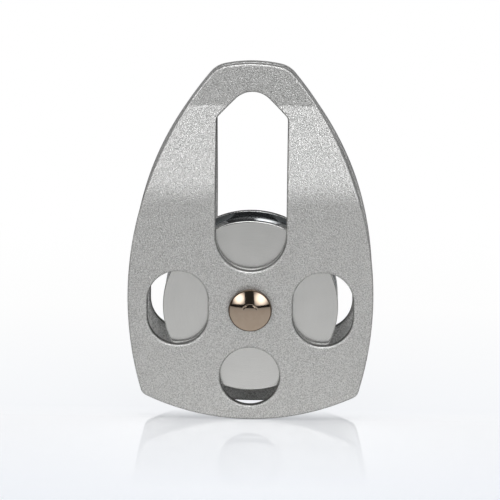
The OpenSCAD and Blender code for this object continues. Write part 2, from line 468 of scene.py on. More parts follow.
# Cages pressed from rolled strip: duller and warmer than the races
CAGE_STEEL = TurnedMetal(
    "pressed_strip_steel", "#A9A499", "#B9B4AA",
    roughness=(0.28, 0.40), ring_mm=0.8, ring_depth_mm=0.002,
)


@dataclass(frozen=True)
class TableTop:
    """A satin laminate table: white far off, faintly blue in front, with a soft reflection.

    To the camera it has an even colour, with the table's real shading mixed in near the
    pulley. Metal sees the real shading times a painted share: a painted pool of light near
    the pulley, painted shade just behind it, and dark past the table's edge. A ramp goes by Y
    where its comment says depth, and by the distance from the pulley elsewhere.
    """

    name: str = "pale_satin_table_top"
    front_colour: str = "#EFF2F7"
    rear_colour: str = "#FFFFFF"
    fade: Ramp = Ramp(-0.095, 0.12)  # by depth, from the front colour to the rear one
    shaded_colour: str = "#DCDCDB"
    lamp_level: float = 0.804  # what the lamps make of a white floor, measured
    shading: Ramp = Ramp(-0.014, -0.002, 0.80, 0.11)  # by depth: shadows are weak behind
    close: Ramp = Ramp(0.12, 0.26, 1.0, 0.0)  # farther off the table is even from every side
    # What the metal sees of the table is painted: a pool of light near the pulley, shade behind
    metal_sees_painted_pool_edge: Ramp = Ramp(0.38, 0.56, 0.86, 0.02)
    metal_sees_painted_light_near: Ramp = Ramp(0.06, 0.30, 1.25, 0.86)
    metal_sees_painted_shade_behind: Ramp = Ramp(-0.01, 0.03, 1.0, 0.35)  # by depth: painted shade just behind the pulley
    metal_sees_beside: Ramp = Ramp(0.05, 0.12, 0.35, 0.9)
    matt_roughness: float = 0.9
    grain_mm: float = 4.0  # the faint unevenness of the satin coat
    blur: Ramp = Ramp(0.0, 1.0, 0.03, 0.05)  # by the grain
    gloss_colour: str = "#FFFFFF"
    gloss: Ramp = Ramp(-0.078, -0.014, 0.0, 0.30)  # by depth, strongest at the foot
    gloss_end: Ramp = Ramp(-0.010, -0.001, 1.0, 0.0)  # by depth, none behind the front plate

    def build(self) -> bpy.types.Material:
        """Makes the material.

        Returns:
            The material, with its pattern on the object's own coordinates.
        """
        material, tree = new_material(self.name)
        place = add_node(tree, "TexCoord").outputs["Object"]
        camera = add_node(tree, "LightPath").outputs["Is Camera Ray"]
        depth = add_node(tree, "SeparateXYZ", {0: place}).outputs["Y"]
        away = add_node(tree, "VectorMath", {0: place}, operation="LENGTH").outputs["Value"]
        shading, close = (
            add_node(tree, "MapRange", feed, interpolation_type="SMOOTHSTEP").outputs["Result"]
            for feed in (self.shading.feed(depth), self.close.feed(away))
        )
        shown = add_node(tree, "Math", {0: shading, 1: close}, operation="MULTIPLY").outputs[0]
        seen = self.seen_by_metal(tree, depth, away)
        share = add_node(
            tree,
            "Mix",
            {"Factor": camera, NUMBER_A: seen, NUMBER_B: shown},
            data_type="FLOAT",
        ).outputs[NUMBER_OUT]
        shaded = linear(self.shaded_colour)[:3]
        body_colour, lit = (
            add_node(tree, "VectorMath", {0: shaded, "Scale": part}, operation="SCALE").outputs[0]
            for part in (share, shown)
        )
        body = add_node(
            tree,
            "BsdfPrincipled",
            {
                "Base Color": body_colour,
                "Roughness": self.matt_roughness,
                "Specular IOR Level": 0.0,
            },
        )
        lift = self.lift(tree, depth, lit, camera)
        matt = add_node(tree, "AddShader", {0: body.outputs[0], 1: lift.outputs[0]})
        grain = add_node(
            tree,
            "TexNoise",
            {"Vector": place, "Scale": noise_scale(self.grain_mm), "Detail": 2.0},
        ).outputs["Fac"]
        blur = add_node(tree, "MapRange", self.blur.feed(grain)).outputs["Result"]
        shine = add_node(
            tree, "BsdfAnisotropic", {"Color": linear(self.gloss_colour), "Roughness": blur}
        )
        amount = add_node(tree, "MapRange", self.gloss.feed(depth)).outputs["Result"]
        to_camera = {**self.gloss_end.feed(depth), "To Min": camera}
        for part in (add_node(tree, "MapRange", to_camera).outputs["Result"], close):
            amount = add_node(tree, "Math", {0: amount, 1: part}, operation="MULTIPLY").outputs[0]
        both = add_node(tree, "MixShader", {0: amount, 1: matt.outputs[0], 2: shine.outputs[0]})
        end_material(tree, both.outputs[0])
        material.cycles.emission_sampling = "NONE"  # only the camera sees the lift
        return material

    def seen_by_metal(
        self, tree: bpy.types.NodeTree, depth: bpy.types.NodeSocket, away: bpy.types.NodeSocket
    ) -> bpy.types.NodeSocket:
        """Works out the metal's share of the shading: painted light near, painted shade behind.

        Args:
            tree: The material's node tree.
            depth: The place along Y.
            away: The distance from the pulley.

        Returns:
            The share.
        """
        far, behind = (
            add_node(tree, "MapRange", feed, interpolation_type="SMOOTHSTEP").outputs["Result"]
            for feed in (self.metal_sees_painted_pool_edge.feed(away), self.metal_sees_painted_shade_behind.feed(depth))
        )
        near, beside = (
            add_node(tree, "MapRange", ramp.feed(away)).outputs["Result"]
            for ramp in (self.metal_sees_painted_light_near, self.metal_sees_beside)
        )
        level = add_node(tree, "Math", {0: far, 1: near}, operation="MULTIPLY").outputs[0]
        part = add_node(tree, "Math", {0: behind, 1: beside}, operation="MAXIMUM").outputs[0]
        return add_node(tree, "Math", {0: level, 1: part}, operation="MULTIPLY").outputs[0]

    def lift(
        self,
        tree: bpy.types.NodeTree,
        depth: bpy.types.NodeSocket,
        lit: bpy.types.NodeSocket,
        camera: bpy.types.NodeSocket,
    ) -> bpy.types.Node:
        """Makes the glow that brings the table's shading up to its even colour.

        Args:
            tree: The material's node tree.
            depth: The place along Y.
            lit: The colour that the lamps shade.
            camera: 1 for the camera's rays, which alone see the glow.

        Returns:
            The glow's node.
        """
        far = add_node(tree, "MapRange", self.fade.feed(depth)).outputs["Result"]
        front, rear = linear(self.front_colour), linear(self.rear_colour)
        colour = add_node(
            tree, "Mix", {"Factor": far, COLOUR_A: front, COLOUR_B: rear}, data_type="RGBA"
        ).outputs[COLOUR_OUT]
        lamps = add_node(tree, "VectorMath", {0: lit, "Scale": self.lamp_level}, operation="SCALE")
        rest = add_node(
            tree, "VectorMath", {0: colour, 1: lamps.outputs[0]}, operation="SUBTRACT"
        ).outputs[0]
        return add_node(tree, "Emission", {"Color": rest, "Strength": camera})


def meet(c1: Vector, r1: float, c2: Vector, r2: float, up: int) -> Vector:
    """Finds where two circles cross.

    Args:
        c1: First circle's centre.
        r1: First circle's radius.
        c2: Second circle's centre.
        r2: Second circle's radius.
        up: 1 for the upper crossing, -1 for the lower.

    Returns:
        The crossing point.
    """
    gap = c2 - c1
    along = (r1 * r1 - r2 * r2 + gap.length_squared) / (2 * gap.length)
    offset = math.sqrt(r1 * r1 - along * along)
    way = unit(gap)
    side = flat(-way.y, way.x)
    ends = (c1 + along * way + offset * side, c1 + along * way - offset * side)
    return max(ends, key=lambda p: p.y * up)


class Pen:
    """Draws an outline as a chain of edges, from the lines and arcs that a drawing gives."""

    def __init__(self, bm: bmesh.types.BMesh, plane: Plane, start: Vector, step: float) -> None:
        """Starts a chain.

        Args:
            bm: The mesh to draw into.
            plane: The plane of the drawing.
            start: The first point.
            step: The longest edge on an arc.
        """
        self.bm = bm
        self.plane = plane
        self.step = step
        self.at = start
        self.first = self.tip = bm.verts.new(plane.place(start))

    def line(self, end: Vector, guard: float = 0.0) -> "Pen":
        """Draws a straight stretch.

        Args:
            end: Where it ends.
            guard: Distance from both ends of two more points, which keep the stretch flat
                under smooth shading. With 0 there are none.

        Returns:
            The pen, to draw on with.
        """
        way = unit(end - self.at)
        stops = [self.at + guard * way, end - guard * way] if guard else []
        for stop in [*stops, end]:
            made = bmesh.ops.extrude_vert_indiv(self.bm, verts=[self.tip])["verts"][0]
            made.co = self.plane.place(stop)
            self.tip, self.at = made, stop
        return self

    def arc(self, centre: Vector, end: Vector) -> "Pen":
        """Draws an arc of less than half a turn.

        Args:
            centre: The arc's centre.
            end: The point in whose direction, seen from the centre, the arc ends.

        Returns:
            The pen, to draw on with.
        """
        a, b = self.at - centre, end - centre
        angle = math.atan2(a.x * b.y - a.y * b.x, a.dot(b))
        by_length = math.ceil(a.length * abs(angle) / self.step)
        by_angle = math.ceil(abs(angle) / COARSEST_TURN)
        turned = bmesh.ops.spin(
            self.bm,
            geom=[self.tip],
            cent=self.plane.place(centre),
            axis=self.plane.turn_axis,
            angle=angle,
            steps=max(2, by_length, by_angle),
        )["geom_last"]
        self.tip = next(v for v in turned if isinstance(v, bmesh.types.BMVert))
        self.at = centre + Matrix.Rotation(angle, 2) @ a
        return self

    def close(self) -> None:
        """Joins the end to the start."""
        self.bm.edges.new((self.tip, self.first))


def whole(bm: bmesh.types.BMesh) -> list[MeshPart]:
    """All vertices, edges and faces of a mesh."""
    return [*bm.verts, *bm.edges, *bm.faces]


def as_object(
    bm: bmesh.types.BMesh, name: str, materials: Iterable[bpy.types.Material]
) -> bpy.types.Object:
    """Turns a working mesh into an object at the origin.

    Args:
        bm: The working mesh, which is freed.
        name: The object's name.
        materials: Its materials, in the order of its faces' numbers.

    Returns:
        The object, linked to the scene.
    """
    mesh = bpy.data.meshes.new(name)
    bm.to_mesh(mesh)
    bm.free()
    for material in materials:
        mesh.materials.append(material)
    made = bpy.data.objects.new(name, mesh)
    bpy.context.scene.collection.objects.link(made)
    return made


def as_piece(
    bm: bmesh.types.BMesh, name: str, materials: Iterable[bpy.types.Material]
) -> bpy.types.Object:
    """Turns a working mesh into a smooth-shaded piece of the pulley.

    Args:
        bm: The working mesh, which is freed.
        name: The piece's name.
        materials: Its materials, in the order of its faces' numbers.

    Returns:
        The piece, linked to the scene.
    """
    for face in bm.faces:
        face.smooth = True
    piece = as_object(bm, name, materials)
    LOG.info("%s: %d faces", name, len(piece.data.polygons))
    return piece


def turn_about_axle(bm: bmesh.types.BMesh, steps: int) -> None:
    """Turns a section, drawn in X and Y, once about the axle and closes it.

    Args:
        bm: The mesh with the section's edges.
        steps: Facets round the full turn.
    """
    bmesh.ops.spin(
        bm,
        geom=whole(bm),
        cent=(0, 0, 0),
        axis=(0, 1, 0),
        angle=math.tau,
        steps=steps,
        use_merge=True,
    )
    bmesh.ops.remove_doubles(bm, verts=bm.verts, dist=MERGE)
    bmesh.ops.dissolve_degenerate(bm, edges=bm.edges, dist=MERGE)
    bmesh.ops.recalc_face_normals(bm, faces=bm.faces)


@dataclass
class Joggle:
    """The side view of a side plate's sheet: straight, leaning in, and straight again.

    Each face of the sheet is given as its distance from the sheet's own plane, as in the
    CAD source: the lower bend is soft and the upper one is tight.
    """

    outer: float = 11.3 * MM
    thickness: float = 3.0 * MM
    inner_gap: float = 0.3 * MM
    bend_z: float = 33.5 * MM
    lean: float = math.radians(17)
    lower_r: float = 24.0 * MM
    upper_r: float = 3.0 * MM
    lower_cuts: int = 14  # slices of each bend
    upper_cuts: int = 12

    def __post_init__(self) -> None:
        """Works out the centres of the two bends."""
        lower_outer = self.lower_r + self.thickness
        drop = self.outer - self.thickness - self.inner_gap
        bends = (lower_outer + self.upper_r) * (1 - math.cos(self.lean))
        run = (drop - bends) / math.sin(self.lean)
        leaning = flat(-math.cos(self.lean), math.sin(self.lean))
        self.lower_c = flat(-self.outer + lower_outer, self.bend_z)
        start = self.lower_c + lower_outer * leaning
        straight = run * flat(math.sin(self.lean), math.cos(self.lean))
        self.upper_c = start + straight + self.upper_r * leaning

    def face(self, z: float, depth: float) -> tuple[float, float]:
        """Gives the place and slope of one of the sheet's faces.

        Args:
            z: Height above the axle.
            depth: 0 for the outer face, the sheet's thickness for the inner one.

        Returns:
            The face's Y on the front plate, and how fast it changes with height.
        """
        low = self.lower_r + self.thickness - depth
        high = self.upper_r + depth
        sine, slope = math.sin(self.lean), math.tan(self.lean)
        if z <= self.bend_z:
            return -self.outer + depth, 0.0
        if z < self.bend_z + low * sine:
            rise = z - self.bend_z
            reach = math.sqrt(low * low - rise * rise)
            return self.lower_c.x - reach, rise / reach
        if z < self.upper_c.y - high * sine:
            rise = z - self.bend_z - low * sine
            return self.lower_c.x - low * math.cos(self.lean) + rise * slope, slope
        if z < self.upper_c.y:
            rise = self.upper_c.y - z
            reach = math.sqrt(high * high - rise * rise)
            return self.upper_c.x + reach, rise / reach
        return self.upper_c.x + high, 0.0

    def levels(self) -> list[float]:
        """Lists the heights at which the sheet is cut, so that it can bend there.

        Returns:
            Heights above the axle.
        """
        sine = math.sin(self.lean)
        low_end = self.bend_z + (self.lower_r + self.thickness) * sine
        high_start = self.upper_c.y - (self.upper_r + self.thickness) * sine
        soft = [
            self.bend_z + (low_end - self.bend_z) * i / self.lower_cuts
            for i in range(self.lower_cuts + 1)
        ]
        tight = [
            high_start + (self.upper_c.y - high_start) * i / self.upper_cuts
            for i in range(self.upper_cuts + 1)
        ]
        return [*soft, self.bend_z + self.lower_r * sine, *tight]


@dataclass
class SidePlate:
    """A side plate: a pointed arch of blasted sheet, with its eye, three holes and axle bore.

    It is drawn flat, its rims are rolled by three narrow insets, it is sliced at the bends
    and then pushed to the joggle's side view, so it lies where the CAD plate lies.
    """

    side: Side
    joggle: Joggle
    width: float = 77.4 * MM
    side_r: float = 110.0 * MM
    waist_z: float = 3.0 * MM
    top_z: float = 77.0 * MM
    top_r: float = 42.0 * MM
    top_corner_r: float = 8.0 * MM
    foot_z: float = 36.4 * MM
    foot_r: float = 76.0 * MM
    foot_corner_r: float = 3.0 * MM
    eye_w: float = 22.2 * MM
    eye_tip_z: float = 68.0 * MM
    eye_tip_r: float = 7.4 * MM
    eye_shoulder_r: float = 2.0 * MM
    eye_bottom_z: float = 12.2 * MM
    oval_w: float = 19.1 * MM
    oval_h: float = 24.0 * MM
    oval_x: float = 22.9 * MM
    oval_join: float = 0.03  # radians of the oval's last arc that its closing edge spans
    foot_hole_r: float = 9.5 * MM
    foot_hole_z: float = 22.2 * MM
    bore_r: float = 4.08 * MM
    rim: float = 0.7 * MM  # the broken edge, softened by the blasting
    rim_turns: int = 3  # facets across a rim
    rim_lean: float = math.radians(10)  # the broken edge leans outward more than a true round
    wall_band: float = 0.3 * MM  # how far from a hole's outline its wall is looked for
    step: float = 0.7 * MM

    def draw_outline(self, bm: bmesh.types.BMesh) -> None:
        """Draws the right half of the outer edge, from the foot to the top.

        Args:
            bm: The mesh to draw into.
        """
        side_c = flat(self.width / 2 - self.side_r, self.waist_z)
        top_c = flat(0, self.top_z - self.top_r)
        foot_c = flat(0, self.foot_r - self.foot_z)
        low = meet(
            side_c, self.side_r - self.foot_corner_r, foot_c, self.foot_r - self.foot_corner_r, -1
        )
        high = meet(
            side_c, self.side_r - self.top_corner_r, top_c, self.top_r - self.top_corner_r, 1
        )
        pen = Pen(bm, Plane.SHEET, flat(0, -self.foot_z), self.step)
        pen.arc(foot_c, low).arc(low, low + (low - side_c)).arc(side_c, high)
        pen.arc(high, high + (high - top_c)).arc(top_c, flat(0, self.top_z))

    def draw_eye(self, bm: bmesh.types.BMesh) -> None:
        """Draws the right half of the carabiner eye, from its bottom to its tip.

        Args:
            bm: The mesh to draw into.
        """
        half = self.eye_w / 2
        foot_c = flat(0, self.eye_bottom_z + half)
        tip_c = flat(0, self.eye_tip_z - self.eye_tip_r)
        shoulder_z = tip_c.y + self.eye_tip_r * math.sqrt(2) - half
        run = self.eye_shoulder_r * math.tan(math.radians(22.5))  # the side turns by 45 degrees
        shoulder_c = flat(half - self.eye_shoulder_r, shoulder_z - run)
        slant = unit(flat(1, 1))
        pen = Pen(bm, Plane.SHEET, flat(0, self.eye_bottom_z), self.step)
        pen.arc(foot_c, foot_c + flat(half, 0)).line(flat(half, shoulder_c.y))
        pen.arc(shoulder_c, shoulder_c + slant).line(tip_c + self.eye_tip_r * slant)
        pen.arc(tip_c, tip_c + flat(0, self.eye_tip_r))

    def draw_holes(self, bm: bmesh.types.BMesh) -> None:
        """Draws the right oval, and the right halves of the foot hole and the axle bore.

        Args:
            bm: The mesh to draw into.
        """
        r, half = self.oval_w / 2, (self.oval_h - self.oval_w) / 2
        top, bottom = flat(self.oval_x, half), flat(self.oval_x, -half)
        pen = Pen(bm, Plane.SHEET, bottom + flat(r, 0), self.step)
        pen.line(top + flat(r, 0)).arc(top, top + flat(0, r)).arc(top, top - flat(r, 0))
        pen.line(bottom - flat(r, 0)).arc(bottom, bottom - flat(0, r))
        pen.arc(bottom, bottom + flat(r, r * -self.oval_join)).close()
        foot_c = flat(0, -self.foot_hole_z)
        for centre, radius in ((foot_c, self.foot_hole_r), (flat(0, 0), self.bore_r)):
            pen = Pen(bm, Plane.SHEET, centre - flat(0, radius), self.step)
            pen.arc(centre, centre + flat(radius, 0)).arc(centre, centre + flat(0, radius))

    def roll_rims(self, bm: bmesh.types.BMesh, faces: list[bmesh.types.BMFace]) -> None:
        """Rounds the edge round one face of the sheet and round its holes.

        Args:
            bm: The flat sheet.
            faces: The faces on one side of it.
        """
        quarter = math.pi / 2 / self.rim_turns
        for i in range(self.rim_turns):
            bmesh.ops.inset_region(
                bm,
                faces=faces,
                use_boundary=True,
                use_even_offset=True,
                thickness=self.rim * (math.cos(i * quarter) - math.cos((i + 1) * quarter)),
                depth=self.rim * (math.sin((i + 1) * quarter) - math.sin(i * quarter)),
            )

    def flat_sheet(self) -> bmesh.types.BMesh:
        """Makes the plate before bending.

        Returns:
            The working mesh, with its outer face at Y 0.
        """
        bm = bmesh.new()
        self.draw_outline(bm)
        self.draw_eye(bm)
        self.draw_holes(bm)
        bmesh.ops.mirror(bm, geom=whole(bm), axis="X", merge_dist=MERGE)
        bmesh.ops.remove_doubles(bm, verts=bm.verts, dist=MERGE)
        bmesh.ops.triangle_fill(bm, use_beauty=True, edges=bm.edges, normal=(0, -1, 0))
        back = bmesh.ops.extrude_face_region(bm, geom=bm.faces)["geom"]
        bmesh.ops.translate(
            bm,
            verts=[g for g in back if isinstance(g, bmesh.types.BMVert)],
            vec=(0, self.joggle.thickness - 2 * self.rim, 0),
        )
        bmesh.ops.translate(bm, verts=bm.verts, vec=(0, self.rim, 0))
        bmesh.ops.recalc_face_normals(bm, faces=bm.faces)
        for side in Side:
            self.roll_rims(bm, [f for f in bm.faces if f.normal.y * side.value > FACE_SHARE])
        for level in self.joggle.levels():
            bmesh.ops.bisect_plane(
                bm, geom=whole(bm), dist=MERGE, plane_co=(0, 0, level), plane_no=(0, 0, 1)
            )
        return bm

    def in_hole(self, x: float, z: float) -> bool:
        """Finds whether a place on the flat sheet lies in a hole or just round it.

        Args:
            x: The place across the sheet.
            z: Its height.

        Returns:
            True in the eye, in an oval and in the foot hole.
        """
        band = self.wall_band
        low, high = self.eye_bottom_z - band, self.eye_tip_z + band
        in_eye = abs(x) < self.eye_w / 2 + band and low < z < high
        past_oval = max(abs(abs(x) - self.oval_x) - self.oval_w / 2, abs(z) - self.oval_h / 2)
        in_foot = math.hypot(x, z + self.foot_hole_z) < self.foot_hole_r + band
        return in_eye or past_oval < band or in_foot

    def rolled_normal(self, vert: bmesh.types.BMVert) -> Vector:
        """Finds the direction that the real surface faces at a point of the flat sheet.

        Args:
            vert: A vertex of the flat sheet.

        Returns:
            The direction: straight out on a face, level on a cut edge, between them on a rim.
        """
        t = self.joggle.thickness
        facing = -1 if vert.co.y < t / 2 else 1
        depth = min(vert.co.y, t - vert.co.y)
        out = min(1.0, max(0.0, 1 - depth / self.rim))
        if 1e-3 < out < 1 - 1e-3:  # inside a rim, at neither of its ends
            out = math.sin(math.asin(out) - self.rim_lean)
        level = Vector((vert.normal.x, 0, vert.normal.z))
        level = unit(level) if level.length > 1e-4 else Vector((0, 0, 0))
        return Vector((0, out * facing, 0)) + level * math.sqrt(1 - out * out)

    def bend(self, bm: bmesh.types.BMesh) -> list[Vector]:
        """Pushes the flat sheet to the joggle's side view.

        Args:
            bm: The flat sheet.

        Returns:
            The direction that the real surface faces at each vertex.
        """
        t = self.joggle.thickness
        normals = []
        for vert in bm.verts:
            normal = self.rolled_normal(vert)
            share = vert.co.y / t
            y_out, slope_out = self.joggle.face(vert.co.z, 0.0)
            y_in, slope_in = self.joggle.face(vert.co.z, t)
            stretch = (y_in - y_out) / t
            slope = slope_out * (1 - share) + slope_in * share
            vert.co.y = y_out * (1 - share) + y_in * share
            turned = normal.y / stretch
            normals.append(unit(Vector((normal.x, turned, normal.z - slope * turned))))
        return normals

    def build(self, material: bpy.types.Material, punched_and_shaded: bpy.types.Material) -> bpy.types.Object:
        """Makes the plate and puts it on its body.

        Args:
            material: The sheet's finish.
            punched_and_shaded: The finish of the walls of its holes: dull, and darkened with
                painted shade.

        Returns:
            The piece that stands for the CAD plate.
        """
        bm = self.flat_sheet()
        bm.normal_update()
        for f in bm.faces:
            middle = f.calc_center_median()
            # The walls of the holes take the dark finish: painted shade
            if abs(f.normal.y) < WALL_SHARE and self.in_hole(middle.x, middle.z):
                f.material_index = 1
        normals = self.bend(bm)
        if self.side is Side.REAR:
            bmesh.ops.scale(bm, vec=(1, -1, 1), verts=bm.verts)
            bmesh.ops.reverse_faces(bm, faces=bm.faces)
            normals = [Vector((n.x, -n.y, n.z)) for n in normals]
        piece = as_piece(bm, f"{self.side.word}_cheek_plate", [material, punched_and_shaded])
        piece.data.normals_split_custom_set_from_vertices(normals)
        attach(piece, f"{self.side.word}_cheek")
        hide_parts(f"{self.side.word}_side_plate")
        return piece


@dataclass
class Sheave:
    """The grooved wheel: turned side faces, rounded flange edges and a polished rope groove."""

    outer_r: float = 27.7 * MM
    face_y: float = 7.8 * MM
    groove_r: float = 6.0 * MM
    floor_r: float = 20.75 * MM
    seat_r: float = 9.51 * MM
    lip_r: float = 8.41 * MM
    lip_y: float = 1.5 * MM
    edge_r: float = 0.4 * MM
    mouth_r: float = 0.3 * MM
    entry: float = 0.2 * MM  # chamfer that leads a bearing into its seat
    guard: float = 0.06 * MM
    step: float = 0.5 * MM
    groove_band: float = 0.05 * MM  # a face this close to the groove's arc is the groove's
    facets: int = 192

    def draw_section(self, bm: bmesh.types.BMesh) -> None:
        """Draws half of the wheel's section, from the groove's floor to the lip.

        Args:
            bm: The mesh to draw into.
        """
        groove_c = flat(self.floor_r + self.groove_r, 0)
        x = self.outer_r - self.mouth_r
        reach = self.groove_r + self.mouth_r
        mouth = flat(x, math.sqrt(reach * reach - (x - groove_c.x) ** 2))
        edge = flat(self.outer_r - self.edge_r, self.face_y - self.edge_r)
        pen = Pen(bm, Plane.SECTION, flat(self.floor_r, 0), self.step)
        pen.arc(groove_c, mouth).arc(mouth, mouth + flat(1, 0))
        pen.line(flat(self.outer_r, edge.y), self.guard).arc(edge, edge + flat(0, 1))
        pen.line(flat(self.seat_r + self.entry, self.face_y), self.guard)
        pen.line(flat(self.seat_r, self.face_y - self.entry), self.guard)
        pen.line(flat(self.seat_r, self.lip_y), self.guard)
        pen.line(flat(self.lip_r, self.lip_y), self.guard)
        pen.line(flat(self.lip_r, self.lip_y / 3)).line(flat(self.lip_r, 0))

    def build(self, face: bpy.types.Material, groove: bpy.types.Material) -> bpy.types.Object:
        """Makes the wheel and puts it on its body.

        Args:
            face: The finish of all but the groove.
            groove: The finish of the rope groove.

        Returns:
            The piece that stands for the CAD sheave.
        """
        bm = bmesh.new()
        self.draw_section(bm)
        bmesh.ops.mirror(bm, geom=whole(bm), axis="Y", merge_dist=MERGE)
        turn_about_axle(bm, self.facets)
        groove_x = self.floor_r + self.groove_r
        for f in bm.faces:
            middle = f.calc_center_median()
            radius = math.hypot(middle.x, middle.z)
            off_arc = math.hypot(radius - groove_x, middle.y) - self.groove_r
            if abs(off_arc) < self.groove_band:
                f.material_index = 1
        piece = as_piece(bm, "grooved_wheel", [face, groove])
        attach(piece, "sheave_wheel")
        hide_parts("sheave")
        return piece


@dataclass
class AxleRivet:
    """The riveted axle: a plain shank and a polished domed head at each end."""

    shank_r: float = 4.0 * MM
    head_face: float = 11.4 * MM
    head_r: float = 6.8 * MM
    head_h: float = 3.4 * MM
    head_edge: float = 1.6 * MM
    rim_r: float = 0.34 * MM
    painted_shade_share: float = 0.8  # of the rim's radius, darkened with painted shade along with the head's edge
    mark_r: float = 2.4 * MM  # the ring that the riveting tool leaves
    mark_depth: float = 0.03 * MM
    tool_r: float = 1.0 * MM
    guard: float = 0.05 * MM
    step: float = 0.22 * MM
    facets: int = 160

    def draw_section(self, bm: bmesh.types.BMesh) -> None:
        """Draws half of the axle's section, from its middle to the rear head's pole.

        Args:
            bm: The mesh to draw into.
        """
        rise = self.head_h - self.head_edge
        dome_r = (self.head_r**2 + rise**2) / (2 * rise)
        dome_c = flat(0, self.head_face + self.head_h - dome_r)
        rim = flat(self.head_r - self.rim_r, 0)
        rim.y = dome_c.y + math.sqrt((dome_r - self.rim_r) ** 2 - rim.x**2)
        under = flat(self.head_r - self.rim_r / 2, self.head_face + self.rim_r / 2)
        away = math.asin(self.mark_r / dome_r)
        tool_way = flat(math.sin(away), math.cos(away))
        tool_c = dome_c + (dome_r + self.tool_r - self.mark_depth) * tool_way
        outer, inner = (meet(dome_c, dome_r, tool_c, self.tool_r, up) for up in (-1, 1))
        pen = Pen(bm, Plane.SECTION, flat(self.shank_r, 0), self.step)
        pen.line(flat(self.shank_r, self.head_face), self.guard)
        pen.line(flat(under.x, self.head_face), self.guard)
        pen.arc(under, under + flat(1, 0)).line(flat(self.head_r, rim.y))
        pen.arc(rim, rim + (rim - dome_c))
        pen.arc(dome_c, outer).arc(tool_c, inner).arc(dome_c, dome_c + flat(0, 1))

    def build(self, material: bpy.types.Material, edge: bpy.types.Material) -> bpy.types.Object:
        """Makes the axle and puts it on its body.

        Args:
            material: The plated finish.
            edge: The finish of the heads' outer edges, darkened with painted shade.

        Returns:
            The piece that stands for the CAD axle.
        """
        bm = bmesh.new()
        self.draw_section(bm)
        bmesh.ops.mirror(bm, geom=whole(bm), axis="Y", merge_dist=MERGE)
        turn_about_axle(bm, self.facets)
        for f in bm.faces:
            middle = f.calc_center_median()
            # The head's side and the outer part of its rim get the darker finish: painted shade
            if math.hypot(middle.x, middle.z) > self.head_r - self.painted_shade_share * self.rim_r:
                f.material_index = 1
        piece = as_piece(bm, "domed_axle", [material, edge])
        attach(piece, "rear_cheek")
        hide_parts("axle_rivet")
        return piece


@dataclass
class BearingSet:
    """The washers, the spacer and both ball bearings, which keep their CAD meshes."""

    nodes: dict[str, bpy.types.Object]

    def dress(self) -> None:
        """Gives each node the finish that its name calls for."""
        rubber = MouldedRubber().build()
        washer, races, cage = (m.build() for m in (WASHER_STEEL, BEARING_STEEL, CAGE_STEEL))
        by_word = {
            "seal": rubber,
            "washer": washer,
            "spacer": washer,
            "race": races,
            "balls": races,
            "cage": cage,
        }
        for name, node in self.nodes.items():
            for word, material in by_word.items():
                if word in name:
                    self.put(node, material)
                    LOG.info("%s: %s", name, material.name)

    @staticmethod
    def put(node: bpy.types.Object, material: bpy.types.Material) -> None:
        """Puts a material in all of a CAD node's slots.

        Args:
            node: The CAD node.
            material: Its finish.
        """
        if not node.material_slots:
            node.data.materials.append(material)
        for slot in node.material_slots:
            slot.material = material


@dataclass
class PhotoCamera:
    """The photograph's camera, as found from the outline of the plates and their holes."""

    distance: float = 884.4 * MM
    elevation: float = math.radians(14.635)
    azimuth: float = math.radians(1.135)
    roll: float = math.radians(0.521)
    across: float = -0.446 * MM
    above: float = 15.85 * MM
    focal_px: float = 2775.25
    image_px: float = 500.0
    sensor_mm: float = 36.0
    nearest: float = 0.05  # metres, the range in which the camera sees
    farthest: float = 20.0

    def build(self) -> None:
        """Makes the camera and gives it to the scene."""
        sin_a, cos_a = math.sin(self.azimuth), math.cos(self.azimuth)
        sin_e, cos_e = math.sin(self.elevation), math.cos(self.elevation)
        back = Vector((sin_a * cos_e, -cos_a * cos_e, sin_e))
        right = unit((-back).cross(Vector((0, 0, 1))))
        up = right.cross(-back)
        place = back * self.distance + right * self.across + up * self.above
        turn = Matrix.Rotation(self.roll, 3, back)
        axes = Matrix((turn @ right, turn @ up, back)).transposed()
        data = bpy.data.cameras.new("photo_camera")
        data.sensor_width = self.sensor_mm
        data.lens = self.focal_px * self.sensor_mm / self.image_px
        data.clip_start, data.clip_end = self.nearest, self.farthest
        camera = bpy.data.objects.new("photo_camera", data)
        camera.matrix_world = Matrix.Translation(place) @ axes.to_4x4()
        bpy.context.scene.collection.objects.link(camera)
        bpy.context.scene.camera = camera


class Lights(Enum):
    """What a lamp lights: some objects alone, or all but those."""

    ONLY = "INCLUDE"
    ALL_BUT = "EXCLUDE"


def link_light(
    lamp: bpy.types.Object, lights: Lights, things: tuple[bpy.types.Object, ...]
) -> None:
    """Gives a lamp to some objects alone, or keeps it off them.

    Args:
        lamp: The object that shines.
        lights: Which of the two it is.
        things: The objects.
    """
    receivers = bpy.data.collections.new(f"{lamp.name}_receivers")
    for thing in things:
        receivers.objects.link(thing)
    for entry in receivers.collection_objects:
        entry.light_linking.link_state = lights.value
    lamp.light_linking.receiver_collection = receivers


# Where the corners of each light panel lie, as directions from the pulley
LEFT: Corners = (
    (-0.250, -0.961, 0.150),
    (-0.265, -0.760, 0.600),
    (-0.62, -0.64, 0.47),
    (-0.76, -0.65, 0.09),
)
RIGHT: Corners = (
    (0.190, -0.979, 0.090),
    (0.130, -0.763, 0.650),
    (0.62, -0.61, 0.52),
    (0.78, -0.62, 0.10),
)
